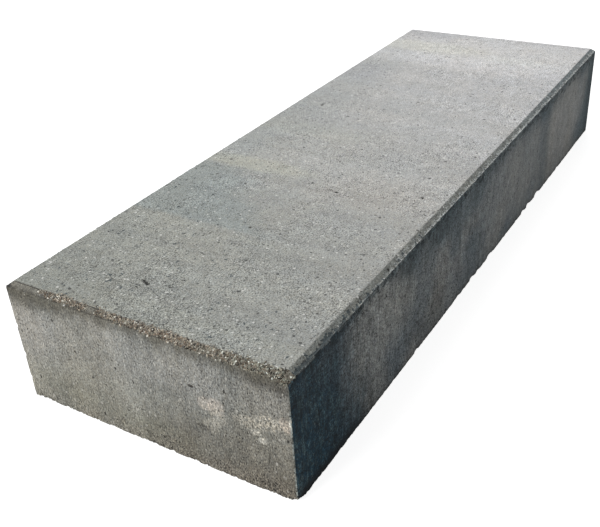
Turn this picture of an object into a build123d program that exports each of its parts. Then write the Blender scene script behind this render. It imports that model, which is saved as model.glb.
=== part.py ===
# Solid concrete block step, pressed in one piece from a stiff, nearly dry mix.
#
# The mix is shaken and pressed in a steel mould box. The box gives the four
# plain upright faces, and the board under it gives the flat bed. A stamp
# presses the tread from above: its bevelled rim forms the chamfer all round,
# and leaves a narrow level land where the stamp clears the walls of the box.
#
# Millimetres, +Z up. X runs along the step, and the riser that people face is
# at -Y. The origin is the middle of the bed, so the step stands on Z = 0.

import os
from math import atan2, degrees

from build123d import *

os.makedirs("parts", exist_ok=True)

# Overall size
step_length = 1000.0
step_depth = 350.0
step_height = 150.0

# Edge that the stamp presses round the tread
chamfer_run = 6.0
chamfer_drop = 4.5
press_land = 1.5

# Upright edges, as the corners of the mould box leave them
upright_edge_radius = 2.5

# Worn corners at the -X end of the riser: how far the wear reaches along the
# step, across it and up its edge, from where the sharp corner would be
tread_wear_along = 24.0
tread_wear_across = 20.0
tread_wear_upright = 12.5
bed_wear_along = 12.0
bed_wear_across = 9.0
bed_wear_upright = 5.0

# What follows from those sizes
land_level = step_height - chamfer_drop
chamfer_lean = degrees(atan2(chamfer_run, chamfer_drop))
riser_end = Vector(-step_length / 2, -step_depth / 2, 0)


with BuildPart() as block_step:
    # Body of the step, up to the level of the land
    with BuildSketch(Plane.XY):
        RectangleRounded(step_length, step_depth, upright_edge_radius)
    extrude(amount=land_level)

    # Pressed field above the land, its four sides leaning in to the tread
    with BuildSketch(Plane.XY.offset(land_level)):
        Rectangle(step_length - 2 * press_land, step_depth - 2 * press_land)
    extrude(amount=chamfer_drop, taper=chamfer_lean)

    # Worn corner of the tread, taken off by the plane through its three reaches
    tread_wear = Plane(
        origin=riser_end + Vector(tread_wear_along, 0, step_height),
        z_dir=(-1 / tread_wear_along, -1 / tread_wear_across, 1 / tread_wear_upright),
    )
    split(bisect_by=tread_wear, keep=Keep.BOTTOM)

    # Worn corner of the bed, straight below it
    bed_wear = Plane(
        origin=riser_end + Vector(bed_wear_along, 0, 0),
        z_dir=(-1 / bed_wear_along, -1 / bed_wear_across, -1 / bed_wear_upright),
    )
    split(bisect_by=bed_wear, keep=Keep.BOTTOM)

block_step.part.label = "block_step"
export_step(block_step.part, "parts/block_step.step")
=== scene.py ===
import math

import bmesh
import bpy
import numpy as np
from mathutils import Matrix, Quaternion, Vector


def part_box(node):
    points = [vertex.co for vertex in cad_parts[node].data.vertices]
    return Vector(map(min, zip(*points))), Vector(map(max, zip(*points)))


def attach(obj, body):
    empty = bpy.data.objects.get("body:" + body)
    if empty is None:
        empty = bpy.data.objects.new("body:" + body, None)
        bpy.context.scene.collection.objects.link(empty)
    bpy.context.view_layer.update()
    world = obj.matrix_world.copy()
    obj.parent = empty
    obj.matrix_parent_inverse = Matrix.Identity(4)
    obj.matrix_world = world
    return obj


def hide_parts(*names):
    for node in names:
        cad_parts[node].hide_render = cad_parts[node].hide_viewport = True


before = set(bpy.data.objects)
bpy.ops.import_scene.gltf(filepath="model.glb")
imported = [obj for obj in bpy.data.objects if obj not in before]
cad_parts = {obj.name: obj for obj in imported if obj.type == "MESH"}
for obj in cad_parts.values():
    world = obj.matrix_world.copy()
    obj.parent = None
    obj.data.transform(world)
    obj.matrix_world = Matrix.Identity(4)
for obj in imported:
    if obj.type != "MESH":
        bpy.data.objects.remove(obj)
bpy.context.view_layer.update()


# The step's body: one casting of stiff concrete, shaken and pressed in a steel box.
# The box forms its upright faces, a board the bed, and a bevelled stamp the tread.
# Its skin is a grid that is coarse on the flats and fine along every edge.
mm = 0.001
low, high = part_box("block_step")
half_length, half_depth, rise = high.x, high.y, high.z
chamfer_run = 6.0 * mm
chamfer_drop = 4.5 * mm
press_land = 1.5 * mm
land_level = rise - chamfer_drop
tread_inset = press_land + chamfer_run
upright_edge_radius = 2.5 * mm
touching = 0.01 * mm

# Grid lines: their rows in from the edges, and the spacing between. The middle of the
# bed, which nothing shapes, has its cells merged in blocks.
flat_spacing = 8.0 * mm
bed_block = 5
plan_rows = np.array([0, 0.75, 1.5, 2.5, 3.75, 5.0, 6.25, 7.5, 9.0, 12.5]) * mm
upright_rows = np.array([0, 0.8, 1.8, 3.0, 4.5, 6.5, 10.0]) * mm

# How far from an edge the skin is fine, on the tread, the sides and the bed, and how far
# from the worn corners
tread_zone = 8.2 * mm
side_zone = 5.0 * mm
upright_zone = 3.8 * mm
bed_zone = 3.8 * mm
worn_zone = 27.0 * mm

# Worn corners at the -X end of the riser: reach along, across and up or down from the
# sharp corner, its level, which way it points, and how softly the wear runs out
worn_corners = {
    "tread": ((24 * mm, 20 * mm, 12.5 * mm), rise, 1, 2.5 * mm),
    "bed": ((12 * mm, 9 * mm, 5 * mm), 0.0, -1, 2.0 * mm),
}

# Pits in the tread where a soft lump of sand fell out: place, reach along and across, depth
tread_pits = [
    ((-0.4316, 0.0430), (1.4 * mm, 2.0 * mm), 2.0 * mm),
    ((-0.4335, 0.0390), (1.7 * mm, 2.4 * mm), 2.6 * mm),
    ((-0.4354, 0.0352), (1.7 * mm, 2.1 * mm), 2.2 * mm),
    ((-0.4300, 0.0100), (1.6 * mm, 1.8 * mm), 1.0 * mm),
    ((-0.2905, 0.0070), (1.9 * mm, 1.7 * mm), 1.3 * mm),
    ((-0.1721, -0.0384), (2.0 * mm, 2.4 * mm), 1.5 * mm),
    ((-0.1435, -0.1381), (2.4 * mm, 2.2 * mm), 1.8 * mm),
    ((0.0775, 0.1260), (3.0 * mm, 2.2 * mm), 1.4 * mm),
    ((-0.3000, -0.1717), (1.7 * mm, 1.0 * mm), 2.0 * mm),
    ((-0.3660, -0.1717), (1.2 * mm, 0.8 * mm), 1.6 * mm),
]
pit_zone = 6.0 * mm

# Nicks in the -X upright edge at the rear: level, reach up and down, depth
edge_nicks = [
    (0.0955, 2.5 * mm, 1.6 * mm),
    (0.0570, 3.5 * mm, 1.8 * mm),
    (0.0250, 2.5 * mm, 1.2 * mm),
]

# Bites out of the riser's lower edge: place along it, reach along it, depth
foot_bites = [
    (0.320, 6 * mm, 1.0 * mm),
    (0.214, 10 * mm, 3.4 * mm),
    (0.172, 7 * mm, 3.0 * mm),
    (0.148, 6 * mm, 1.8 * mm),
    (0.006, 9 * mm, 1.8 * mm),
    (-0.038, 6 * mm, 1.0 * mm),
    (-0.060, 7 * mm, 2.0 * mm),
    (-0.108, 6 * mm, 1.0 * mm),
    (-0.235, 5 * mm, 1.0 * mm),
]


def graded_lines(start, end, rows):
    """Grid lines from start to end: the given rows at each end, and even steps between."""
    inner_length = end - start - 2 * rows[-1]
    steps = round(inner_length / flat_spacing)
    inner = np.linspace(start + rows[-1], end - rows[-1], steps + 1)
    return np.concatenate([start + rows[:-1], inner, end - rows[-2::-1]])


lines = [
    graded_lines(-half_length, half_length, plan_rows),
    graded_lines(-half_depth, half_depth, plan_rows),
    graded_lines(0.0, land_level, upright_rows),
]
last = [len(line) - 1 for line in lines]
vertex_at = {}
points = []


def vertex(address):
    """The number of the vertex at that grid address, made the first time it is asked for."""
    if address not in vertex_at:
        vertex_at[address] = len(points)
        points.append([lines[axis][i] for axis, i in enumerate(address)])
    return vertex_at[address]


def block_outline(i0, i1, j0, j1, border):
    """Addresses round a block of bed cells, with every vertex on the sides that meet the border rows."""
    outline = []
    for j, ends, on_border in ((j0, (i0, i1), j0 == border), (j1, (i1, i0), j1 == last[1] - border)):
        step = 1 if ends[1] > ends[0] else -1
        along = range(ends[0], ends[1] + step, step) if on_border else ends
        outline.append([(i, j, 0) for i in along])
    right = [(i1, j, 0) for j in range(j0 + 1, j1)] if i1 == last[0] - border else []
    left = [(i0, j, 0) for j in range(j1 - 1, j0, -1)] if i0 == border else []
    return outline[0] + right + outline[1] + left


faces = []
bed_border = len(plan_rows) - 1
for axis in range(3):
    u, v = (axis + 1) % 3, (axis + 2) % 3
    for end in (0, last[axis]):
        for i in range(last[u]):
            for j in range(last[v]):
                inner_bed = axis == 2 and end == 0 and bed_border <= i < last[0] - bed_border
                if inner_bed and bed_border <= j < last[1] - bed_border:
                    continue
                quad = []
                for du, dv in ((0, 0), (1, 0), (1, 1), (0, 1)):
                    address = [0, 0, 0]
                    address[axis], address[u], address[v] = end, i + du, j + dv
                    quad.append(vertex(tuple(address)))
                faces.append(quad if end else quad[::-1])
for i in range(bed_border, last[0] - bed_border, bed_block):
    for j in range(bed_border, last[1] - bed_border, bed_block):
        i_end = min(i + bed_block, last[0] - bed_border)
        j_end = min(j + bed_block, last[1] - bed_border)
        outline = block_outline(i, i_end, j, j_end, bed_border)
        faces.append([vertex(address) for address in outline][::-1])

mesh = bpy.data.meshes.new("block_step_skin")
mesh.from_pydata(points, [], faces)
grid = bmesh.new()
grid.from_mesh(mesh)


def near_an_edge(place):
    """Whether a point of the plain block's skin lies in the fine zone of one of its edges."""
    gaps = half_length - abs(place.x), half_depth - abs(place.y)
    if place.z > land_level - touching:
        return min(gaps) < tread_zone
    if place.z < touching:
        return min(gaps) < bed_zone
    return min(place.z, land_level - place.z) < side_zone or max(gaps) < upright_zone


def on_the_torn_edge(place):
    """Whether a point lies on the torn -X edge of the tread or at the worn corners."""
    from_end, from_riser = half_length + place.x, half_depth + place.y
    if max(from_end, from_riser, land_level - place.z) < worn_zone:
        return True
    return from_end < tread_zone and land_level - place.z < 4 * mm


def by_a_pit(place):
    """Whether a point of the tread lies by one of its pits."""
    if place.z < land_level - touching:
        return False
    return any((place.xy - Vector(centre)).length < pit_zone for centre, reach, depth in tread_pits)


def refine(where, longest, cuts):
    """Cuts the edges there that are longer than that."""
    long_edges = []
    for edge in grid.edges:
        middle = (edge.verts[0].co + edge.verts[1].co) / 2
        if edge.calc_length() > longest and where(middle):
            long_edges.append(edge)
    bmesh.ops.subdivide_edges(grid, edges=long_edges, cuts=cuts, use_grid_fill=True, use_single_edge=True)


refine(by_a_pit, 3 * mm, 2)
refine(by_a_pit, 1.5 * mm, 2)
refine(near_an_edge, 2 * mm, 4)
refine(on_the_torn_edge, 2 * mm, 3)
refine(on_the_torn_edge, 1.25 * mm, 1)
bmesh.ops.triangulate(grid, faces=[face for face in grid.faces if len(face.verts) > 4])
grid.to_mesh(mesh)
grid.free()

plain = np.zeros(len(mesh.vertices) * 3)
mesh.vertices.foreach_get("co", plain)
plain = plain.reshape(-1, 3)
end_gap = half_length - np.abs(plain[:, 0])
side_gap = half_depth - np.abs(plain[:, 1])
inset = np.minimum(end_gap, side_gap)
on_top = plain[:, 2] > land_level - touching
shaped = plain.copy()

# The stamp's bevel lifts the field inside the land
climb = np.clip((inset - press_land) / chamfer_run, 0, 1)
shaped[:, 2] += np.where(on_top, chamfer_drop * climb, 0)

# The mould's rounded corners
into_corner = np.maximum(upright_edge_radius - np.stack([end_gap, side_gap], 1), 0)
both = into_corner.min(1) > 0
pull = np.ones(len(plain))
pull[both] = into_corner[both].max(1) / np.hypot(*into_corner[both].T)
new_gap = upright_edge_radius - into_corner * pull[:, None]
for axis, half in ((0, half_length), (1, half_depth)):
    shaped[both, axis] = np.sign(plain[both, axis]) * (half - new_gap[both, axis])

# The worn corners
corner_wear = np.zeros(len(plain))
for reach, level, up, soft in worn_corners.values():
    outward = np.array([-1 / reach[0], -1 / reach[1], up / reach[2]])
    outward /= np.linalg.norm(outward)
    on_plane = np.array([-half_length + reach[0], -half_depth, level])
    over = (shaped - on_plane) @ outward
    eased = np.where(over > soft, over, np.clip(over + soft, 0, None) ** 2 / (4 * soft))
    shaped -= np.outer(eased, outward)
    corner_wear = np.maximum(corner_wear, np.clip(over / soft + 1, 0, 1))

mesh.vertices.foreach_set("co", shaped.ravel())


def store(name, values):
    """Keeps one number for each vertex of the skin, for the relief and the finish to read."""
    mesh.attributes.new(name, "FLOAT", "POINT").data.foreach_set("value", values.astype(np.float32))


def fade(gap, reach):
    """1 at a gap of nothing, falling to 0 at the reach."""
    return np.clip(1 - gap / reach, 0, 1)


on_bed = plain[:, 2] < touching
bed_gap = np.where(on_bed, inset, plain[:, 2])
upright_gap = np.where(on_top | on_bed, 1, np.maximum(end_gap, side_gap))
land_gap = np.where(on_top, inset, land_level - plain[:, 2])
rim_gap = np.where(on_top, np.maximum(inset - tread_inset, 0), 1)
from_end = plain[:, 0] + half_length
from_riser = plain[:, 1] + half_depth

# The -X chamfer is torn from the riser back, except for one whole stretch, and keeps
# more and more of its foot towards the rear
torn_run = 318 * mm
torn_run_out = 30 * mm
whole_stretch = 236 * mm
whole_reach = 14 * mm
chamfer_zone = 12 * mm
torn_end = fade(rim_gap, 3 * mm) * (from_end < chamfer_zone)
torn_end = torn_end * np.clip((torn_run - from_riser) / torn_run_out, 0, 1)
kept_foot = 0.3 * np.clip((from_riser - 100 * mm) / (150 * mm), 0, 1)
whole_share = 0.9 * fade(np.abs(from_riser - whole_stretch), whole_reach)
torn_end *= np.clip((climb - kept_foot) / 0.3 + 1, 0, 1) * (1 - whole_share)
torn_riser = 0.5 * fade(rim_gap, 1 * mm) * (from_riser < chamfer_zone) * fade(from_end, torn_run_out)

# Pits, nicks and bites: how deep each goes, and how far from an edge it can reach
nick_reach = 3 * mm
bite_reach = 4 * mm
pit = np.zeros(len(plain))
for (x, y), reach, depth in tread_pits:
    across = np.hypot((plain[:, 0] - x) / reach[0], (plain[:, 1] - y) / reach[1])
    pit = np.maximum(pit, on_top * depth * np.clip(1.25 - across, 0, 1) ** 0.7)
for level, reach, nick_depth in edge_nicks:
    off_edge = np.hypot(from_end / nick_reach, (plain[:, 1] - half_depth) / nick_reach)
    nick = np.clip(1.25 - np.hypot(off_edge, (plain[:, 2] - level) / reach), 0, 1)
    pit = np.maximum(pit, nick_depth * nick)
for x, reach, bite_depth in foot_bites:
    off_edge = np.hypot(from_riser / bite_reach, plain[:, 2] / bite_reach)
    bite = np.clip(1.25 - np.hypot(off_edge, (plain[:, 0] - x) / reach), 0, 1)
    pit = np.maximum(pit, bite_depth * bite)

along_riser = (from_riser < 10 * mm) & (from_end > 20 * mm)
store("bed_edge", fade(bed_gap, 6 * mm) ** 1.2 * np.where(along_riser, 0.3, 1.0))
store("upright_edge", fade(upright_gap, 4 * mm) ** 1.5)
store("land_edge", fade(land_gap, 3 * mm))
end_side = np.clip((from_riser - from_end) / (4 * mm) + 0.2, 0, 1)
store("torn_reach", np.clip(torn_end + torn_riser + corner_wear * end_side, 0, 1))
store("press_climb", np.where(on_top, climb, 0))
store("pit_depth", pit)


# Relief of the casting: edges crumble where they leave the mould, the pressed edge is
# torn by coarse sand, and pits show where lumps fell out. All of it goes inwards.
def feed(tree, socket, value):
    """Links an input to another node's output, or sets it to a plain value."""
    if isinstance(value, bpy.types.NodeSocket):
        tree.links.new(value, socket)
    else:
        socket.default_value = value


def add(tree, kind, values, output=0, **settings):
    """Adds a node, sets it up, feeds its inputs and gives back one output."""
    node = tree.nodes.new(kind)
    for name, value in settings.items():
        setattr(node, name, value)
    for key, value in values.items():
        feed(tree, node.inputs[key], value)
    return node.outputs[output]


def calc(tree, operation, *values):
    """One Math node."""
    return add(tree, "ShaderNodeMath", dict(enumerate(values)), operation=operation)


def product(tree, first, *others):
    """Numbers multiplied together."""
    for other in others:
        first = calc(tree, "MULTIPLY", first, other)
    return first


def vector(tree, operation, *values, output=0):
    """One Vector Math node."""
    return add(tree, "ShaderNodeVectorMath", dict(enumerate(values)), output, operation=operation)


def noise(tree, place, scale, detail=2.0, seed=None, roughness=0.5):
    """Noise of that many waves a metre, from about 0 to 1."""
    values = {"Vector": place, "Scale": scale, "Detail": detail, "Roughness": roughness}
    if seed is None:
        return add(tree, "ShaderNodeTexNoise", values)
    values["W"] = seed
    return add(tree, "ShaderNodeTexNoise", values, noise_dimensions="4D")


def ramp(tree, value, start, end, low_value=0.0, high_value=1.0):
    """A smooth step from low_value at start to high_value at end."""
    values = {"Value": value, "From Min": start, "From Max": end, "To Min": low_value, "To Max": high_value}
    return add(tree, "ShaderNodeMapRange", values, interpolation_type="SMOOTHSTEP")


def scaled(tree, colour, factor):
    """A colour or a vector, made that many times lighter or longer."""
    return add(tree, "ShaderNodeVectorMath", {0: colour, "Scale": factor}, operation="SCALE")


def new_tree(name, kind, inputs, outputs):
    """A node group with those sockets, and its input and output nodes."""
    tree = bpy.data.node_groups.new(name, kind)
    for way, sockets in (("INPUT", inputs), ("OUTPUT", outputs)):
        for socket_name, socket_kind, *default in sockets:
            socket_type = "NodeSocket" + socket_kind
            socket = tree.interface.new_socket(socket_name, in_out=way, socket_type=socket_type)
            if default:
                socket.default_value = default[0]
    return tree, tree.nodes.new("NodeGroupInput").outputs, tree.nodes.new("NodeGroupOutput").inputs


relief, given, result = new_tree(
    "casting_relief",
    "GeometryNodeTree",
    [
        ("Skin", "Geometry"),
        ("Bed Chips", "Float"),
        ("Upright Chips", "Float"),
        ("Land Waves", "Float"),
        ("Torn Depth", "Float"),
        ("Seed", "Float"),
    ],
    [("Skin", "Geometry")],
)


def stored(tree, name):
    """A number kept on the vertices under that name."""
    return add(tree, "GeometryNodeInputNamedAttribute", {"Name": name}, data_type="FLOAT")


def store_in(tree, geometry, name, value):
    """Keeps a number on the points of a geometry under that name."""
    values = {"Geometry": geometry, "Name": name, "Value": value}
    return add(tree, "GeometryNodeStoreNamedAttribute", values, data_type="FLOAT", domain="POINT")


place = add(relief, "GeometryNodeInputPosition", {})
normal = add(relief, "GeometryNodeInputNormal", {})
long_waves = ramp(relief, noise(relief, place, 30, 1.0, given["Seed"]), 0.5, 0.75)
waves = ramp(relief, noise(relief, place, 95, 2.0, given["Seed"]), 0.35, 0.68)
crumbs = ramp(relief, noise(relief, place, 260, 2.0, given["Seed"]), 0.35, 0.68)
chips = calc(relief, "MULTIPLY_ADD", waves, 0.7, product(relief, long_waves, 0.5))
chips = calc(relief, "MULTIPLY_ADD", crumbs, 0.7, calc(relief, "SUBTRACT", chips, 0.55))
chips = calc(relief, "MAXIMUM", chips, 0.0)
rubble = calc(relief, "MULTIPLY_ADD", crumbs, 0.65, product(relief, waves, 0.35))
frayed = calc(relief, "SUBTRACT", waves, 0.5)
frayed = calc(relief, "MULTIPLY_ADD", frayed, 0.6, stored(relief, "torn_reach"))
torn = ramp(relief, frayed, 0.42, 0.66)
marked = store_in(relief, given["Skin"], "torn", torn)
depth = stored(relief, "pit_depth")
layers = [
    ("bed_edge", given["Bed Chips"], chips),
    ("upright_edge", given["Upright Chips"], chips),
    ("land_edge", given["Land Waves"], rubble),
]
for name, amount, shape in layers:
    layer = product(relief, stored(relief, name), product(relief, amount, shape))
    depth = calc(relief, "ADD", depth, layer)
depth = calc(relief, "MULTIPLY_ADD", product(relief, torn, rubble), given["Torn Depth"], depth)
inwards = scaled(relief, normal, product(relief, depth, -1.0))
moved = add(relief, "GeometryNodeSetPosition", {"Geometry": marked, "Offset": inwards})
relief.links.new(moved, result["Skin"])


# Exposed grit: grains of sand and fine gravel that stand in the paste where the edge
# is torn or worn. They are part of the casting, most of them along the -X chamfer.
grit, given, result = new_tree(
    "exposed_grit",
    "GeometryNodeTree",
    [
        ("Skin", "Geometry"),
        ("Grains per m2", "Float"),
        ("Smallest Grain", "Float"),
        ("Largest Grain", "Float"),
        ("Bedding", "Float"),
        ("Seed", "Int"),
        ("Grain Finish", "Material"),
        ("Lowest Corner", "Vector"),
        ("Highest Corner", "Vector"),
    ],
    [("Skin", "Geometry")],
)
density = product(grit, stored(grit, "torn"), given["Grains per m2"])
sown = {"Mesh": given["Skin"], "Density": density, "Seed": given["Seed"]}
spread = add(grit, "GeometryNodeDistributePointsOnFaces", sown).node


def chance(tree, lowest, highest, seed, kind="FLOAT"):
    """A random number, or three, for each grain."""
    node = tree.nodes.new("FunctionNodeRandomValue")
    node.data_type = kind
    sockets = [socket for socket in node.inputs if socket.enabled]
    for socket, value in zip(sockets, (lowest, highest)):
        feed(tree, socket, value)
    node.inputs["Seed"].default_value = seed
    return next(socket for socket in node.outputs if socket.enabled)


bias = calc(grit, "POWER", chance(grit, 0.0, 1.0, 1), 1.8)
sizes = {"Value": bias, "To Min": given["Smallest Grain"], "To Max": given["Largest Grain"]}
size = add(grit, "ShaderNodeMapRange", sizes)
flattest, fullest = (0.7, 0.7, 0.55), (1.25, 1.1, 0.9)
grain_shape = scaled(grit, chance(grit, flattest, fullest, 2, "FLOAT_VECTOR"), size)
sunk = scaled(grit, spread.outputs["Normal"], product(grit, size, given["Bedding"]))
tinted = store_in(grit, spread.outputs["Points"], "grain_tint", chance(grit, 0.0, 1.0, 4))
bedded = add(grit, "GeometryNodeSetPosition", {"Geometry": tinted, "Offset": sunk})
pebble = add(grit, "GeometryNodeMeshUVSphere", {"Radius": 0.5, "Segments": 5, "Rings": 2})
tumbled = chance(grit, (0.0, 0.0, 0.0), (math.tau, math.tau, math.tau), 3, "FLOAT_VECTOR")
grains = add(
    grit,
    "GeometryNodeInstanceOnPoints",
    {"Points": bedded, "Instance": pebble, "Rotation": tumbled, "Scale": grain_shape},
)
loose = add(grit, "GeometryNodeRealizeInstances", {"Geometry": grains})
finished = add(grit, "GeometryNodeSetMaterial", {"Geometry": loose, "Material": given["Grain Finish"]})
joined = grit.nodes.new("GeometryNodeJoinGeometry")
grit.links.new(finished, joined.inputs[0])
grit.links.new(given["Skin"], joined.inputs[0])
place = add(grit, "GeometryNodeInputPosition", {})
inside = vector(grit, "MAXIMUM", place, given["Lowest Corner"])
inside = vector(grit, "MINIMUM", inside, given["Highest Corner"])
kept_in = add(grit, "GeometryNodeSetPosition", {"Geometry": joined.outputs[0], "Position": inside})
grit.links.new(kept_in, result["Skin"])


# Finish of the concrete: grey cement paste full of sand, shaded from pale grey to blue
# anthracite as the mixes run into each other. The tread is pressed and dense, the sides
# carry upright marks from the mould, and the paste is open at the worn edges.
speckle, given, result = new_tree(
    "sand_speckle",
    "ShaderNodeTree",
    [
        ("Place", "Vector"),
        ("Grain Size", "Float", 1.5 * mm),
        ("Pore Share", "Float", 0.2),
        ("Chip Share", "Float", 0.1),
    ],
    [(name, "Float") for name in ("Speckle", "Warmth", "Chips", "Pores", "Height")],
)
per_metre = calc(speckle, "DIVIDE", 1.0, given["Grain Size"])


def times(tree, place, factors):
    """A place or a colour, multiplied part by part."""
    return vector(tree, "MULTIPLY", place, factors)


def wander(tree, *waves, **settings):
    """Noise from about -0.5 to 0.5."""
    return calc(tree, "SUBTRACT", noise(tree, *waves, **settings), 0.5)


def cells(tree, place, scale):
    """Voronoi cells: how far each point is from its cell's middle, and three chances a cell."""
    middle = add(tree, "ShaderNodeTexVoronoi", {"Vector": place, "Scale": scale})
    picks = tree.nodes.new("ShaderNodeSeparateColor")
    tree.links.new(middle.node.outputs["Color"], picks.inputs[0])
    return middle, picks.outputs


def spots(tree, middle, pick, share, widest):
    """Round spots in the middle of that share of the cells, the widest in the fewest."""
    wide = product(tree, ramp(tree, pick, calc(tree, "SUBTRACT", 1.0, share), 1.0), widest)
    return ramp(tree, calc(tree, "SUBTRACT", wide, middle), 0.0, 0.08)


middle, picks = cells(speckle, given["Place"], per_metre)
grain = calc(speckle, "SUBTRACT", picks[0], 0.5)
grain = product(speckle, grain, ramp(speckle, middle, 0.6, 0.3))
finer = wander(speckle, given["Place"], product(speckle, per_metre, 1.2), 2.0)
drift = wander(speckle, given["Place"], product(speckle, per_metre, 0.16), 2.0)
tone = calc(speckle, "MULTIPLY_ADD", finer, 2.1, grain)
tone = calc(speckle, "MULTIPLY_ADD", drift, 0.5, tone)
jolt = add(speckle, "ShaderNodeTexNoise", {"Vector": given["Place"], "Scale": 500.0}, output="Color")
jolted = vector(speckle, "MULTIPLY_ADD", jolt, (1.8 * mm, 1.8 * mm, 1.8 * mm), given["Place"])
pores = chips = 0.0
for fineness, widest_pore, widest_chip in ((0.45, 0.38, 0.38), (0.2, 0.26, 0.22)):
    spot, chances = cells(speckle, jolted, product(speckle, per_metre, fineness))
    pore = spots(speckle, spot, chances[0], given["Pore Share"], widest_pore)
    chip = spots(speckle, spot, chances[1], given["Chip Share"], widest_chip)
    pores = calc(speckle, "MAXIMUM", pores, pore)
    chips = calc(speckle, "MAXIMUM", chips, chip)
height = calc(speckle, "MULTIPLY_ADD", pores, -1.5, tone)
outputs = {"Speckle": tone, "Warmth": picks[1], "Chips": chips, "Pores": pores, "Height": height}
for name, value in outputs.items():
    speckle.links.new(value, result[name])

soft_patch, given, result = new_tree(
    "soft_patch",
    "ShaderNodeTree",
    [
        ("Place", "Vector"),
        ("Centre", "Vector"),
        ("Reach", "Vector"),
        ("Raggedness", "Float", 0.5),
        ("Softness", "Float", 0.25),
        ("Crust", "Float"),
        ("Fineness", "Float", 1.0),
    ],
    [("Mask", "Float")],
)
place = given["Place"]
share = vector(soft_patch, "DIVIDE", vector(soft_patch, "SUBTRACT", place, given["Centre"]), given["Reach"])
far_off = vector(soft_patch, "LENGTH", share, output="Value")
drawn = times(soft_patch, place, (32.0, 32.0, 14.0))
ragged = wander(soft_patch, drawn, given["Fineness"], 7.0, roughness=0.62)
far_off = calc(soft_patch, "MULTIPLY_ADD", ragged, given["Raggedness"], far_off)
gone = calc(soft_patch, "ADD", 1.0, given["Softness"])
full = calc(soft_patch, "SUBTRACT", 1.0, given["Softness"])
whole = ramp(soft_patch, far_off, gone, full)
flakes = ramp(soft_patch, noise(soft_patch, place, 340, 4.0, roughness=0.65), 0.42, 0.56)
missing = product(soft_patch, calc(soft_patch, "SUBTRACT", 1.0, flakes), given["Crust"])
kept = product(soft_patch, whole, calc(soft_patch, "SUBTRACT", 1.0, missing))
soft_patch.links.new(kept, result["Mask"])

marks, given, result = new_tree(
    "mould_marks",
    "ShaderNodeTree",
    [("Place", "Vector"), ("Marks per m", "Float", 500.0), ("Drawn Out", "Float", 6.0)],
    [("Mark", "Float")],
)
across, upright = given["Marks per m"], calc(marks, "DIVIDE", given["Marks per m"], given["Drawn Out"])
drawn = add(marks, "ShaderNodeCombineXYZ", {"X": across, "Y": across, "Z": upright})
stretched = times(marks, given["Place"], drawn)
fine_mark = wander(marks, stretched, 1.0, 2.0)
broad_mark = wander(marks, stretched, 0.17, 2.0)
marks.links.new(calc(marks, "MULTIPLY_ADD", broad_mark, 0.7, fine_mark), result["Mark"])


dull_sheen = 0.35


def start_finish(name, roughness):
    """A new material, with its tree, its Principled shader and the place on the block."""
    material = bpy.data.materials.new(name)
    material.use_nodes = True
    tree = material.node_tree
    shader = tree.nodes["Principled BSDF"]
    shader.inputs["Roughness"].default_value = roughness
    shader.inputs["Specular IOR Level"].default_value = dull_sheen
    return material, tree, shader, add(tree, "ShaderNodeTexCoord", {}, output="Object")


def group(tree, node_group, values):
    """Places a shader group in a tree and gives back its outputs."""
    return add(tree, "ShaderNodeGroup", values, node_tree=node_group).node.outputs


def blend(tree, mask, below, above, strength=None):
    """Mixes one colour over another by a mask, at that strength if one is given."""
    if strength is not None:
        mask = product(tree, mask, strength)
    values = {0: mask}
    for key, colour in ((6, below), (7, above)):
        values[key] = colour if isinstance(colour, bpy.types.NodeSocket) else (*colour, 1.0)
    return add(tree, "ShaderNodeMix", values, output=2, data_type="RGBA")


def from_skin(tree, name):
    """A number that the skin keeps under that name."""
    return add(tree, "ShaderNodeAttribute", {}, output="Fac", attribute_name=name)


def coordinate(tree, place, axis_name):
    """How far along X, Y or Z a place lies."""
    return add(tree, "ShaderNodeSeparateXYZ", {0: place}, output=axis_name)


def along_line(tree, place, direction):
    """How far along a slanting line a place lies."""
    return vector(tree, "DOT_PRODUCT", place, direction, output="Value")


def patch(tree, *values):
    """The mask of one soft patch, from values for the group's inputs in their order."""
    return group(tree, soft_patch, dict(enumerate(values)))["Mask"]


def add_patches(tree, place, colour, axis, level, thickness, patches):
    """Lays soft patches over the face at that level of an axis, one after the other. Each row
    says its place and reach in the face, raggedness, softness, strength and tone, and where the
    patch is a flaking crust, how much of it is missing."""
    for centre, reach, raggedness, softness, strength, tone, *crust in patches:
        centre = (*centre[:axis], level, *centre[axis:])
        reach = (*reach[:axis], thickness, *reach[axis:])
        missing, fineness = (crust[0], 4.0) if crust else (0.0, 1.0)
        mask = patch(tree, place, centre, reach, raggedness, softness, missing, fineness)
        colour = blend(tree, mask, colour, tone, strength)
    return colour


def drift_hue(tree, place, colour, amount):
    """Lets the paste wander slowly between a warmer and a cooler grey."""
    warm = tuple(1.0 + amount * shift for shift in (0.035, 0.0, -0.045))
    cool = tuple(1.0 - amount * shift for shift in (0.035, 0.0, -0.045))
    drawn = times(tree, place, (18.0, 18.0, 5.0))
    tint = blend(tree, ramp(tree, noise(tree, drawn, 1.0, 4.0), 0.35, 0.65), warm, cool)
    return times(tree, colour, tint)


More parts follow.
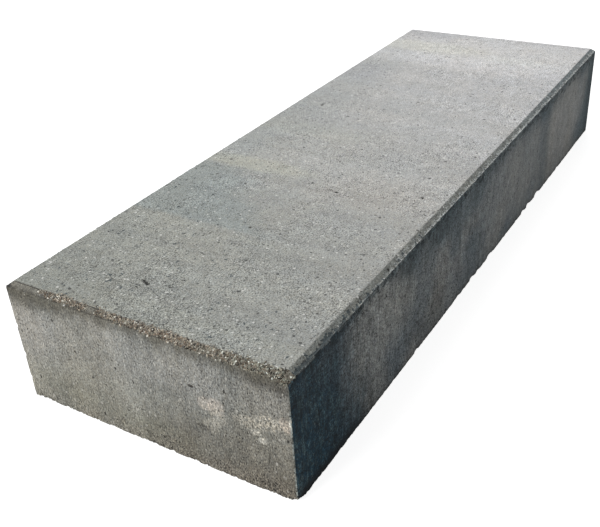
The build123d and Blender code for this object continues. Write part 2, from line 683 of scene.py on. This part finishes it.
def end_with_sand(
    tree, shader, place, colour, grain_size, contrast, pore_share, chip_share, chip_tone, bump
):
    """Sand in the paste, as the last layer: light and dark, warm and cool grains, pale chips and
    small open pores, with the fine relief that the skin's mesh can't hold."""
    values = {"Place": place, "Grain Size": grain_size, "Pore Share": pore_share, "Chip Share": chip_share}
    sand = group(tree, speckle, values)
    tint = blend(tree, sand["Warmth"], (1.02, 1.0, 0.97), (0.98, 1.0, 1.03))
    colour = times(tree, colour, tint)
    tone = calc(tree, "MAXIMUM", calc(tree, "MULTIPLY_ADD", sand["Speckle"], contrast, 1.0), 0.15)
    colour = scaled(tree, colour, tone)
    colour = blend(tree, sand["Chips"], colour, chip_tone, 0.7)
    colour = scaled(tree, colour, calc(tree, "MULTIPLY_ADD", sand["Pores"], -0.75, 1.0))
    tree.links.new(colour, shader.inputs["Base Color"])
    values = {"Strength": 1.0, "Distance": bump, "Height": sand["Height"]}
    tree.links.new(add(tree, "ShaderNodeBump", values), shader.inputs["Normal"])


def height_band(tree, place, dark_level, clear_level, raggedness):
    """A mask that is full at one level of the block and gone at the other, with a ragged end."""
    ragged = wander(tree, times(tree, place, (60.0, 60.0, 14.0)), 1.0, 4.0, roughness=0.6)
    level = calc(tree, "MULTIPLY_ADD", ragged, raggedness, coordinate(tree, place, "Z"))
    return ramp(tree, level, dark_level, clear_level, 1.0, 0.0)


mid_grey = (0.265, 0.273, 0.248)
pale_grey = (0.485, 0.482, 0.488)
blue_grey = (0.238, 0.268, 0.268)
cream = (0.450, 0.448, 0.372)
white_bloom = (0.600, 0.600, 0.580)
warm_grey = (0.285, 0.275, 0.240)
anthracite = (0.002, 0.025, 0.044)
slate = (0.110, 0.150, 0.170)
deep_slate = (0.045, 0.068, 0.078)
umber = (0.168, 0.150, 0.122)
bevel_grey = (0.182, 0.192, 0.178)
deep_shade = (0.012, 0.011, 0.009)

teal_grey = (0.236, 0.273, 0.270)
far_bevel_grey = (0.118, 0.147, 0.155)
lit_land_grey = (0.460, 0.485, 0.475)
gap_shade = (0.020, 0.034, 0.040)
sandy_bevel = (0.140, 0.131, 0.107)
bevel_foot_shade = (0.075, 0.070, 0.056)
rim_shade = (0.045, 0.042, 0.036)
brink_shade = (0.060, 0.055, 0.045)
pit_shade = (0.012, 0.012, 0.010)
tread_finish, tree, shader, place = start_finish("pressed_tread", 0.58)
# Mid grey at the near end to pale grey at the far end: partly the mix's own nuance, partly painted sheen
# where the far end catches grazing light.
lengthwise = along_line(tree, place, (1.0, -0.8, 0.0))
colour = blend(tree, ramp(tree, lengthwise, -0.65, 0.60), mid_grey, pale_grey)
across = times(tree, place, (24.0, 2.2, 0.0))
bands = wander(tree, across, 1.0, 3.0)
colour = scaled(tree, colour, calc(tree, "MULTIPLY_ADD", bands, 0.35, 1.0))
across = times(tree, place, (65.0, 3.0, 0.0))
streaks = wander(tree, across, 1.0, 2.0, 0.4)
streak_depth = ramp(tree, lengthwise, -0.6, 0.1, 0.42, 0.12)
colour = scaled(tree, colour, calc(tree, "MULTIPLY_ADD", streaks, streak_depth, 1.0))
streak_hue = wander(tree, across, 0.7, 2.0, 1.7)
streak_hue = calc(tree, "MULTIPLY_ADD", streak_hue, ramp(tree, lengthwise, -0.6, 0.1, 2.0, 0.7), 0.5)
streak_hue = blend(tree, streak_hue, (1.010, 1.006, 0.972), (0.990, 0.996, 1.018))
colour = times(tree, colour, streak_hue)
along = coordinate(tree, place, "X")
slanting = along_line(tree, place, (-0.86, 1.0, 0.0))
slanting = calc(tree, "MULTIPLY_ADD", bands, 0.12, slanting)

# The charge of bluer mix that begins and ends sharply across the tread
charge_start, charge_end = ramp(tree, along, -0.309, -0.299), ramp(tree, along, -0.148, -0.176)
charge_side = ramp(tree, slanting, 0.215, 0.285, 0.0, 0.55)
blue_charge = product(tree, charge_start, charge_end)
colour = blend(tree, blue_charge, colour, teal_grey, charge_side)
whole_casting = 1.0
tread_patches = [
    ((-0.110, 0.160), (0.030, 0.060), 0.7, 0.5, 0.20, blue_grey),
    ((-0.115, 0.000), (0.022, 0.300), 0.4, 0.6, 0.20, (0.560, 0.560, 0.540)),
    ((0.338, 0.000), (0.030, 0.300), 0.3, 0.5, 0.40, (0.660, 0.650, 0.650)),
    ((-0.144, 0.100), (0.017, 0.090), 0.4, 0.4, 0.55, cream),
    ((-0.160, -0.080), (0.042, 0.085), 0.6, 0.6, 0.30, (0.410, 0.384, 0.346)),
    ((-0.018, 0.085), (0.022, 0.090), 0.5, 0.5, 0.25, (0.450, 0.455, 0.385)),
    ((0.245, 0.150), (0.045, 0.050), 0.7, 0.6, 0.35, (0.300, 0.298, 0.325)),
    ((0.310, 0.150), (0.060, 0.080), 0.7, 0.6, 0.15, blue_grey),
    ((0.408, -0.040), (0.062, 0.190), 0.5, 0.4, 0.40, (0.640, 0.632, 0.615)),
    ((0.100, 0.150), (0.220, 0.060), 0.4, 0.6, 0.25, blue_grey),
    ((0.402, 0.100), (0.028, 0.110), 0.6, 0.4, 0.40, (0.560, 0.555, 0.475)),
    ((0.378, -0.065), (0.016, 0.055), 0.6, 0.4, 0.60, white_bloom),
    ((0.480, 0.130), (0.025, 0.080), 0.6, 0.5, 0.35, (0.300, 0.298, 0.315)),
]
colour = add_patches(tree, place, colour, 2, rise, whole_casting, tread_patches)

# The chamfer, a painted highlight on its land, and the shaded gaps in the land, from the climb of the skin
climb = from_skin(tree, "press_climb")
bevel = ramp(tree, climb, 0.995, 0.92)
bevel_tone = blend(tree, ramp(tree, lengthwise, 0.1, 0.45), bevel_grey, far_bevel_grey)
colour = blend(tree, bevel, colour, bevel_tone, 0.92)
crumbly = wander(tree, place, 150, 4.0, roughness=0.65)
foot_line = calc(tree, "MULTIPLY_ADD", crumbly, 2.6, climb)
broken_run = patch(tree, place, (-0.245, -0.172, 0.147), (0.035, 0.02, 0.05), 0.3, 0.4)
foot_line = calc(tree, "MULTIPLY_ADD", product(tree, crumbly, broken_run), 2.6, foot_line)
land_share = ramp(tree, lengthwise, -0.30, 0.0, 0.3, 0.95)
colour = blend(tree, ramp(tree, foot_line, 0.22, 0.14), colour, lit_land_grey, land_share)
eaten = calc(tree, "MULTIPLY_ADD", crumbly, 1.7, foot_line)
eaten = calc(tree, "ADD", eaten, ramp(tree, lengthwise, -0.36, -0.10, -0.45, 0.16))
colour = blend(tree, ramp(tree, eaten, 0.0, -0.10, 0.0, 0.9), colour, gap_shade)
end_chamfer = (7.8 * mm, 10.0, 1.0)
end_mask = patch(tree, place, (-half_length, 0.0, rise), end_chamfer, 0.06, 0.05)
colour = blend(tree, end_mask, colour, sandy_bevel, 0.85)
# Painted shade along the foot of the -X bevel, on the land under the grit.
end_land = ramp(tree, foot_line, 0.28, 0.02, 0.0, 0.95)
colour = blend(tree, end_land, colour, bevel_foot_shade, end_mask)
patchy = wander(tree, place, 110, 4.0, roughness=0.65)
patchy = product(tree, patchy, ramp(tree, climb, 0.995, 0.92, 0.0, 2.2))
colour = scaled(tree, colour, calc(tree, "ADD", patchy, 1.0))
rim = product(tree, ramp(tree, climb, 0.78, 0.95), end_mask)
colour = blend(tree, rim, colour, rim_shade, 0.8)

# The torn stretch, painted shade in the pits, and a painted shade spot at the rear -X corner
torn = from_skin(tree, "torn")
colour = blend(tree, ramp(tree, torn, 0.35, 0.95, 0.0, 0.9), colour, umber)
brink = product(tree, torn, calc(tree, "SUBTRACT", 1.0, torn))
colour = blend(tree, brink, colour, brink_shade, 1.2)
pit_depth = from_skin(tree, "pit_depth")
hollow = calc(tree, "MINIMUM", product(tree, pit_depth, 900.0), 0.97)
colour = blend(tree, hollow, colour, pit_shade)
corner_shade_spot = patch(tree, place, (-0.499, 0.174, 0.1455), (0.005, 0.006, 0.02), 0.4)
colour = blend(tree, corner_shade_spot, colour, deep_shade)
colour = drift_hue(tree, place, colour, 0.25)
contrast = ramp(tree, noise(tree, place, 12, 3.0), 0.35, 0.65, 0.9, 1.6)
contrast = product(tree, contrast, ramp(tree, lengthwise, -0.5, -0.2, 1.15, 0.95))
end_with_sand(
    tree, shader, place, colour,
    grain_size=1.8 * mm,
    contrast=contrast,
    pore_share=0.20,
    chip_share=0.22,
    chip_tone=(0.740, 0.740, 0.710),
    bump=0.4 * mm,
)

riser_dark = (0.200, 0.228, 0.242)
riser_light = (0.294, 0.304, 0.300)
land_shade = (0.064, 0.090, 0.100)
foot_brown = (0.125, 0.115, 0.105)
bed_line_shade = (0.035, 0.034, 0.031)
foot_black = (0.007, 0.009, 0.011)
head_shade = (0.002, 0.005, 0.007)
lit_ledge_grey = (0.230, 0.255, 0.255)
cavity_shade = (0.012, 0.020, 0.024)
riser_finish, tree, shader, place = start_finish("riser_face", 0.75)
clouds = ramp(tree, noise(tree, place, 10, 6.0), 0.36, 0.64)
colour = blend(tree, clouds, riser_dark, riser_light)
along = coordinate(tree, place, "X")
# Lighter towards the far end: painted sheen of the grazing light there.
colour = scaled(tree, colour, ramp(tree, along, -0.15, 0.15, 1.0, 1.16))
riser_patches = [
    ((-0.325, 0.098), (0.080, 0.050), 0.9, 0.4, 0.75, (0.385, 0.392, 0.375)),
    ((-0.120, 0.132), (0.150, 0.032), 0.9, 0.5, 0.7, slate),
    ((0.300, 0.140), (0.250, 0.022), 0.8, 0.5, 0.6, slate),
    ((-0.335, 0.020), (0.025, 0.030), 0.8, 0.5, 0.5, (0.330, 0.330, 0.310)),
    ((-0.175, 0.030), (0.025, 0.035), 0.8, 0.5, 0.5, (0.330, 0.330, 0.310)),
    ((-0.055, 0.054), (0.022, 0.020), 0.9, 0.5, 0.4, slate),
    ((-0.125, 0.088), (0.022, 0.020), 0.9, 0.5, 0.5, slate),
    # The next three rows are painted shade just under the land, in the slate tone.
    ((-0.255, 0.132), (0.022, 0.014), 1.2, 0.4, 0.5, deep_slate, 0.0),
    ((-0.165, 0.132), (0.035, 0.018), 1.2, 0.4, 0.5, deep_slate, 0.0),
    ((0.030, 0.134), (0.030, 0.012), 1.2, 0.5, 0.4, deep_slate, 0.0),
    ((0.090, 0.080), (0.120, 0.055), 0.9, 0.5, 0.6, (0.354, 0.364, 0.356)),
    ((0.230, 0.090), (0.025, 0.090), 0.6, 0.5, 0.4, slate),
    ((0.345, 0.080), (0.090, 0.065), 0.7, 0.4, 0.7, (0.460, 0.460, 0.440)),
    ((0.500, 0.070), (0.050, 0.110), 0.7, 0.4, 0.8, slate),
    ((0.465, 0.015), (0.065, 0.030), 0.8, 0.5, 0.6, slate),
    ((0.500, 0.060), (0.028, 0.120), 0.6, 0.5, 0.8, deep_slate),
    ((-0.390, 0.045), (0.035, 0.022), 0.8, 0.5, 0.35, (0.060, 0.085, 0.095)),
]
colour = add_patches(tree, place, colour, 1, -half_depth, 4 * mm, riser_patches)
under_land = height_band(tree, place, land_level - mm, land_level - 17 * mm, 34 * mm)
under_land = product(tree, under_land, ramp(tree, along, -0.25, 0.25, 0.85, 0.68))
colour = blend(tree, under_land, colour, land_shade)
foot = height_band(tree, place, 0.0, 12 * mm, 10 * mm)
colour = blend(tree, foot, colour, foot_brown, 0.38)
bed_edge = from_skin(tree, "bed_edge")
bed_line = calc(tree, "MULTIPLY_ADD", wander(tree, place, 90, 3.0), 0.3, bed_edge)
colour = blend(tree, ramp(tree, bed_line, 0.10, 0.24, 0.0, 0.8), colour, bed_line_shade)

# The -X corner, where the anthracite mix fills the riser: waves, a drift of flecks and specks, a near-black
# foot, and painted shade just under the land
corner_place = (-half_length, -half_depth, -0.05)
corner_mask = patch(tree, place, corner_place, (0.106, 0.004, 0.24), 0.7, 0.55)
bare_share = calc(tree, "SUBTRACT", 1.0, corner_mask)
dark_corner = calc(tree, "SUBTRACT", 1.0, product(tree, bare_share, bare_share))
colour = blend(tree, dark_corner, colour, anthracite, 0.97)
corner_layers = [
    ((60.0, 60.0, 20.0), (0.48, 0.66), 0.55, (0.022, 0.058, 0.078)),
    ((190.0, 190.0, 45.0), (0.50, 0.62), 0.80, (0.052, 0.092, 0.108)),
    ((400.0, 400.0, 170.0), (0.52, 0.68), 0.90, (0.086, 0.126, 0.138)),
]
for per_metre, (start, end), strength, tone in corner_layers:
    drawn = times(tree, place, per_metre)
    layer = ramp(tree, noise(tree, drawn, 1.0, 4.0, roughness=0.6), start, end, 0.0, strength)
    colour = blend(tree, layer, colour, tone, dark_corner)
corner_share = ramp(tree, along, -0.32, -0.42, 0.0, 0.95)
black_foot = height_band(tree, place, 4 * mm, 20 * mm, 12 * mm)
colour = blend(tree, black_foot, colour, foot_black, corner_share)
# Painted shade: near black just under the land, within the dark corner.
shaded_head = height_band(tree, place, land_level - 2 * mm, land_level - 12 * mm, 12 * mm)
shaded_head = product(tree, shaded_head, dark_corner)
colour = blend(tree, shaded_head, colour, head_shade, 0.85)

# Mottling and upright marks from the mould, then a painted highlight on the ledge under the land and
# painted shade in its cavities
mottle = wander(tree, place, 75, 4.0, roughness=0.6)
mottled = ramp(tree, along, -0.2, 0.2, 1.3, 0.72)
mottled = calc(tree, "MULTIPLY_ADD", under_land, 1.0, mottled)
mottled = calc(tree, "MULTIPLY_ADD", dark_corner, 0.6, mottled)
mark = group(tree, marks, {"Place": place})["Mark"]
for unevenness in (mottle, mark):
    factor = calc(tree, "MULTIPLY_ADD", unevenness, mottled, 1.0)
    colour = scaled(tree, colour, calc(tree, "MAXIMUM", factor, 0.2))
# Painted highlight: the lit top face of the burr just under the land.
drawn = times(tree, place, (75.0, 75.0, 150.0))
ledge = ramp(tree, noise(tree, drawn, 1.0, 3.0), 0.47, 0.56, 0.0, 0.95)
ledge_strip = height_band(tree, place, land_level - mm, land_level - 4 * mm, 5 * mm)
colour = blend(tree, ledge, colour, lit_ledge_grey, ledge_strip)
cavities = ramp(tree, noise(tree, drawn, 1.0, 4.0, 0.3), 0.53, 0.60, 0.0, 0.7)
shaded_strip = height_band(tree, place, land_level - 5 * mm, land_level - 24 * mm, 24 * mm)
colour = blend(tree, cavities, colour, cavity_shade, shaded_strip)
colour = drift_hue(tree, place, colour, 0.4)
end_with_sand(
    tree, shader, place, colour,
    grain_size=1.9 * mm,
    contrast=mottled,
    pore_share=0.08,
    chip_share=0.12,
    chip_tone=(0.150, 0.190, 0.200),
    bump=0.3 * mm,
)

end_dark = (0.248, 0.248, 0.222)
end_light = (0.314, 0.308, 0.274)
end_land_shade = (0.120, 0.113, 0.090)
end_foot_brown = (0.190, 0.170, 0.140)
arris_wear_and_highlight_grey = (0.430, 0.480, 0.460)
end_finish, tree, shader, place = start_finish("end_face", 0.7)
clouds = ramp(tree, noise(tree, place, 16, 6.0), 0.36, 0.64)
colour = blend(tree, clouds, end_dark, end_light)
across = coordinate(tree, place, "Y")
colour = scaled(tree, colour, calc(tree, "MULTIPLY_ADD", across, 0.85, 0.985))
level = coordinate(tree, place, "Z")
warm, cool = (1.012, 1.000, 0.955), (0.995, 1.000, 1.022)
warmth = blend(tree, ramp(tree, level, 20 * mm, 120 * mm), warm, cool)
colour = times(tree, colour, warmth)
beige = (0.600, 0.560, 0.470)
rosy = (0.660, 0.582, 0.495)
bare_lime = (0.760, 0.740, 0.660)
olive = (0.200, 0.190, 0.140)
end_patches = [
    ((0.160, 0.095), (0.040, 0.040), 0.9, 0.5, 0.5, (0.390, 0.370, 0.335)),
    ((-0.035, 0.108), (0.060, 0.022), 1.0, 0.5, 0.6, (0.370, 0.362, 0.330)),
    # The next two rows are painted shade just under the land, near each side.
    ((0.140, 0.143), (0.050, 0.017), 0.8, 0.5, 0.8, (0.110, 0.105, 0.085)),
    ((-0.160, 0.143), (0.055, 0.014), 0.8, 0.5, 0.8, (0.075, 0.072, 0.062)),
    ((-0.0770, 0.0845), (0.0095, 0.0080), 0.7, 0.25, 0.52, rosy, 0.40),
    ((-0.0895, 0.0850), (0.0100, 0.0110), 0.7, 0.20, 0.56, rosy, 0.40),
    ((-0.0900, 0.0705), (0.0090, 0.0110), 0.5, 0.25, 0.66, beige, 0.50),
    ((-0.0810, 0.0580), (0.0090, 0.0085), 0.6, 0.40, 0.80, beige, 0.85),
    ((-0.1270, 0.0815), (0.0150, 0.0070), 1.6, 0.45, 0.70, beige, 1.0),
    ((-0.1500, 0.0890), (0.0150, 0.0080), 1.6, 0.45, 0.75, beige, 1.0),
    ((-0.1690, 0.0945), (0.0070, 0.0085), 1.0, 0.25, 0.75, rosy, 0.6),
    ((-0.1330, 0.0720), (0.0055, 0.0030), 1.4, 0.50, 0.80, bare_lime, 0.7),
    ((-0.1410, 0.0645), (0.0045, 0.0036), 1.4, 0.50, 0.80, bare_lime, 0.7),
    ((-0.1740, 0.0985), (0.0026, 0.0045), 0.5, 0.25, 0.90, bare_lime, 0.3),
    ((-0.1620, 0.0276), (0.0022, 0.0018), 0.6, 0.20, 0.90, (0.800, 0.800, 0.760)),
    ((0.120, 0.030), (0.035, 0.020), 1.3, 0.5, 0.3, olive),
    ((-0.020, 0.015), (0.060, 0.022), 1.3, 0.5, 0.5, olive),
    ((-0.150, 0.008), (0.060, 0.022), 1.3, 0.5, 0.7, (0.150, 0.130, 0.095)),
    ((-0.110, 0.030), (0.080, 0.035), 1.2, 0.6, 0.64, (0.172, 0.161, 0.136)),
    ((-0.070, 0.0525), (0.0075, 0.0040), 1.2, 0.3, 0.85, (0.050, 0.045, 0.038), 1.0),
    ((-0.062, 0.1005), (0.0038, 0.0018), 1.2, 0.2, 0.9, (0.040, 0.036, 0.030)),
    ((0.1735, 0.1450), (0.0050, 0.0045), 0.4, 0.3, 0.95, deep_shade),
]
colour = add_patches(tree, place, colour, 0, -half_length, 6 * mm, end_patches)
under_land = height_band(tree, place, land_level + mm, land_level - 16 * mm, 30 * mm)
colour = blend(tree, under_land, colour, end_land_shade, 0.85)
# Darker and browner towards the foot.
foot_share = ramp(tree, across, 0.12, -0.12, 0.3, 0.78)
foot = product(tree, height_band(tree, place, 0.0, 30 * mm, 24 * mm), foot_share)
colour = blend(tree, foot, colour, end_foot_brown)
mark = group(tree, marks, {"Place": place})["Mark"]
colour = scaled(tree, colour, calc(tree, "MULTIPLY_ADD", mark, 0.9, 1.0))
# A pale line down the arris by the riser: part edge wear, part painted highlight on the rounding that faces
# the light, fading out towards the top.
arris = from_skin(tree, "upright_edge")
arris_wear_and_light = ramp(tree, noise(tree, place, 70, 4.0), 0.40, 0.52, 0.0, 0.95)
arris = product(tree, ramp(tree, arris, 0.25, 0.60), arris_wear_and_light, ramp(tree, across, -0.10, -0.16))
lower_arris_share = ramp(tree, level, 0.126, 0.108, 0.15, 1.0)
colour = blend(tree, arris, colour, arris_wear_and_highlight_grey, lower_arris_share)
colour = drift_hue(tree, place, colour, 0.45)
contrast = calc(tree, "MULTIPLY_ADD", foot, 1.5, ramp(tree, across, -0.05, -0.14, 0.98, 1.2))
drawn = times(tree, place, (1.0, 1.0, 0.6))
end_with_sand(
    tree, shader, drawn, colour,
    grain_size=1.7 * mm,
    contrast=contrast,
    pore_share=0.03,
    chip_share=0.15,
    chip_tone=(0.560, 0.545, 0.490),
    bump=0.35 * mm,
)

bed_brown = (0.200, 0.185, 0.160)
bed_finish, tree, shader, place = start_finish("bed_face", 0.85)
clouds = ramp(tree, noise(tree, place, 14, 4.0), 0.35, 0.65)
colour = blend(tree, clouds, bed_brown, warm_grey)
end_with_sand(
    tree, shader, place, colour,
    grain_size=2.4 * mm,
    contrast=0.8,
    pore_share=0.6,
    chip_share=0.2,
    chip_tone=(0.400, 0.385, 0.345),
    bump=0.6 * mm,
)

grain_finish, tree, shader, place = start_finish("grit_grain", 0.5)
tint = from_skin(tree, "grain_tint")
stones = tree.nodes.new("ShaderNodeValToRGB")
stones.color_ramp.interpolation = "CONSTANT"
grain_tones = [
    (0.0, (0.035, 0.031, 0.026)),
    (0.18, (0.112, 0.090, 0.072)),
    (0.38, (0.232, 0.180, 0.138)),
    (0.54, (0.260, 0.248, 0.212)),
    (0.78, (0.430, 0.380, 0.315)),
    (0.93, (0.760, 0.750, 0.700)),
]
while len(stones.color_ramp.elements) < len(grain_tones):
    stones.color_ramp.elements.new(0.5)
for element, (position, tone) in zip(stones.color_ramp.elements, grain_tones):
    element.position = position
    element.color = (*tone, 1.0)
tree.links.new(tint, stones.inputs[0])
across = coordinate(tree, place, "Y")
hue = blend(tree, ramp(tree, across, -0.05, -0.15), (1.02, 1.00, 0.95), (0.93, 1.00, 0.97))
colour = times(tree, stones.outputs[0], hue)
tree.links.new(colour, shader.inputs["Base Color"])


# The finishes go on the skin by face, then the relief and the grit are baked into one mesh
for material in (tread_finish, riser_finish, end_finish, bed_finish, grain_finish):
    mesh.materials.append(material)
flat_middles = np.array([plain[list(face.vertices)].mean(0) for face in mesh.polygons])
top_face = flat_middles[:, 2] > land_level - touching
bed_face = flat_middles[:, 2] < touching
end_face = np.abs(flat_middles[:, 0]) > half_length - touching
face_finish = np.select([top_face, bed_face, end_face], [0, 3, 2], 1)
mesh.polygons.foreach_set("material_index", face_finish.astype(np.int32))
mesh.shade_smooth()


def new_object(name, data):
    """A new object in the scene."""
    thing = bpy.data.objects.new(name, data)
    bpy.context.scene.collection.objects.link(thing)
    return thing


raw_block = new_object("block_step_raw", mesh)
relief_sizes = {
    "Bed Chips": 2.5 * mm,
    "Upright Chips": 0.4 * mm,
    "Land Waves": 1.3 * mm,
    "Torn Depth": 2.1 * mm,
    "Seed": 3.0,
}
grit_sizes = {
    "Grains per m2": 900000.0,
    "Smallest Grain": 1.0 * mm,
    "Largest Grain": 4.0 * mm,
    "Bedding": -0.15,
    "Seed": 11,
    "Grain Finish": grain_finish,
    "Lowest Corner": low,
    "Highest Corner": high,
}
for tree, sizes in ((relief, relief_sizes), (grit, grit_sizes)):
    modifier = raw_block.modifiers.new(tree.name, "NODES")
    modifier.node_group = tree
    for socket in tree.interface.items_tree:
        if socket.in_out == "INPUT" and socket.name in sizes:
            modifier[socket.identifier] = sizes[socket.name]
depsgraph = bpy.context.evaluated_depsgraph_get()
finished_mesh = bpy.data.meshes.new_from_object(raw_block.evaluated_get(depsgraph))
bpy.data.objects.remove(raw_block)
block = new_object("block_step_surface", finished_mesh)
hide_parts("block_step")
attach(block, "root")


# The floor: a plain pale sheet under the step, a hair below its bed. It shows white to
# the camera, throws a little light up at the sides and keeps the step's soft shadow.
floor_mesh = bpy.data.meshes.new("floor")
floor_reach = 15.0
floor_drop = 0.3 * mm
floor_turns = ((-1, -1), (1, -1), (1, 1), (-1, 1))
floor_corners = [(floor_reach * x, floor_reach * y, -floor_drop) for x, y in floor_turns]
floor_mesh.from_pydata(floor_corners, [], [(0, 1, 2, 3)])
floor = new_object("floor", floor_mesh)
floor_finish = bpy.data.materials.new("pale_floor")
floor_finish.use_nodes = True
tree = floor_finish.node_tree
tree.nodes.remove(tree.nodes["Principled BSDF"])
seen = add(tree, "ShaderNodeLightPath", {}, output="Is Camera Ray")
lit = add(tree, "ShaderNodeBsdfDiffuse", {"Color": (0.42, 0.42, 0.42, 1)})
white = add(tree, "ShaderNodeEmission", {"Color": (1, 1, 1, 1), "Strength": 0.86})
shadowed = add(tree, "ShaderNodeBsdfDiffuse", {"Color": (0.45, 0.45, 0.45, 1)})
shown = add(tree, "ShaderNodeAddShader", {0: white, 1: shadowed})
either = add(tree, "ShaderNodeMixShader", {0: seen, 1: lit, 2: shown})
tree.links.new(either, tree.nodes["Material Output"].inputs["Surface"])
floor_mesh.materials.append(floor_finish)


# Light: a white room, one large softbox high at the -X end, and a weaker one beyond
# the far end, so that the riser lies in soft shade.
world = bpy.data.worlds.new("white_room")
bpy.context.scene.world = world
world.use_nodes = True
tree = world.node_tree
room = tree.nodes["Background"]
path = tree.nodes.new("ShaderNodeLightPath")
mirrored = calc(tree, "MAXIMUM", path.outputs["Is Camera Ray"], path.outputs["Is Glossy Ray"])
room.inputs["Color"].default_value = (1, 1, 1, 1)
room_light, room_shown = 0.30, 1.0
tree.links.new(ramp(tree, mirrored, 0.0, 1.0, room_light, room_shown), room.inputs["Strength"])


def point_at(thing, place, aim, roll=0.0):
    """Stands a lamp or camera at its place, turned to look at its aim."""
    thing.location = place
    thing.rotation_mode = "QUATERNION"
    looking = (Vector(aim) - Vector(place)).to_track_quat("-Z", "Y")
    thing.rotation_quaternion = looking @ Quaternion((0, 0, 1), roll)


def softbox(name, place, aim, side, watts):
    """A square area lamp that shines from its place towards its aim."""
    lamp = bpy.data.lights.new(name, "AREA")
    lamp.size = side
    lamp.energy = watts
    point_at(new_object(name, lamp), place, aim)


softbox("end_softbox", place=(-2.5, 1.05, 2.25), aim=(0.0, 0.0, 0.1), side=1.8, watts=87)
softbox("far_softbox", place=(1.5, 0.5, 1.4), aim=(0.35, 0.0, 0.1), side=1.2, watts=15)


# The camera: close above the -X end of the riser and a little rolled, as the photograph
# was taken, with its picture shifted so that the whole step stands in it.
camera_data = bpy.data.cameras.new("camera")
camera_data.sensor_width = 36.0
camera_data.lens = 50.165
camera_data.shift_x = -0.0315
camera_data.shift_y = -0.0102
camera = new_object("camera", camera_data)
point_at(
    camera,
    place=(-0.95649, -0.49713, 0.60194),
    aim=(-0.20761, -0.03047, 0.07500),
    roll=math.radians(-3.25),
)
bpy.context.scene.camera = camera
bpy.context.scene.view_settings.view_transform = "Standard"
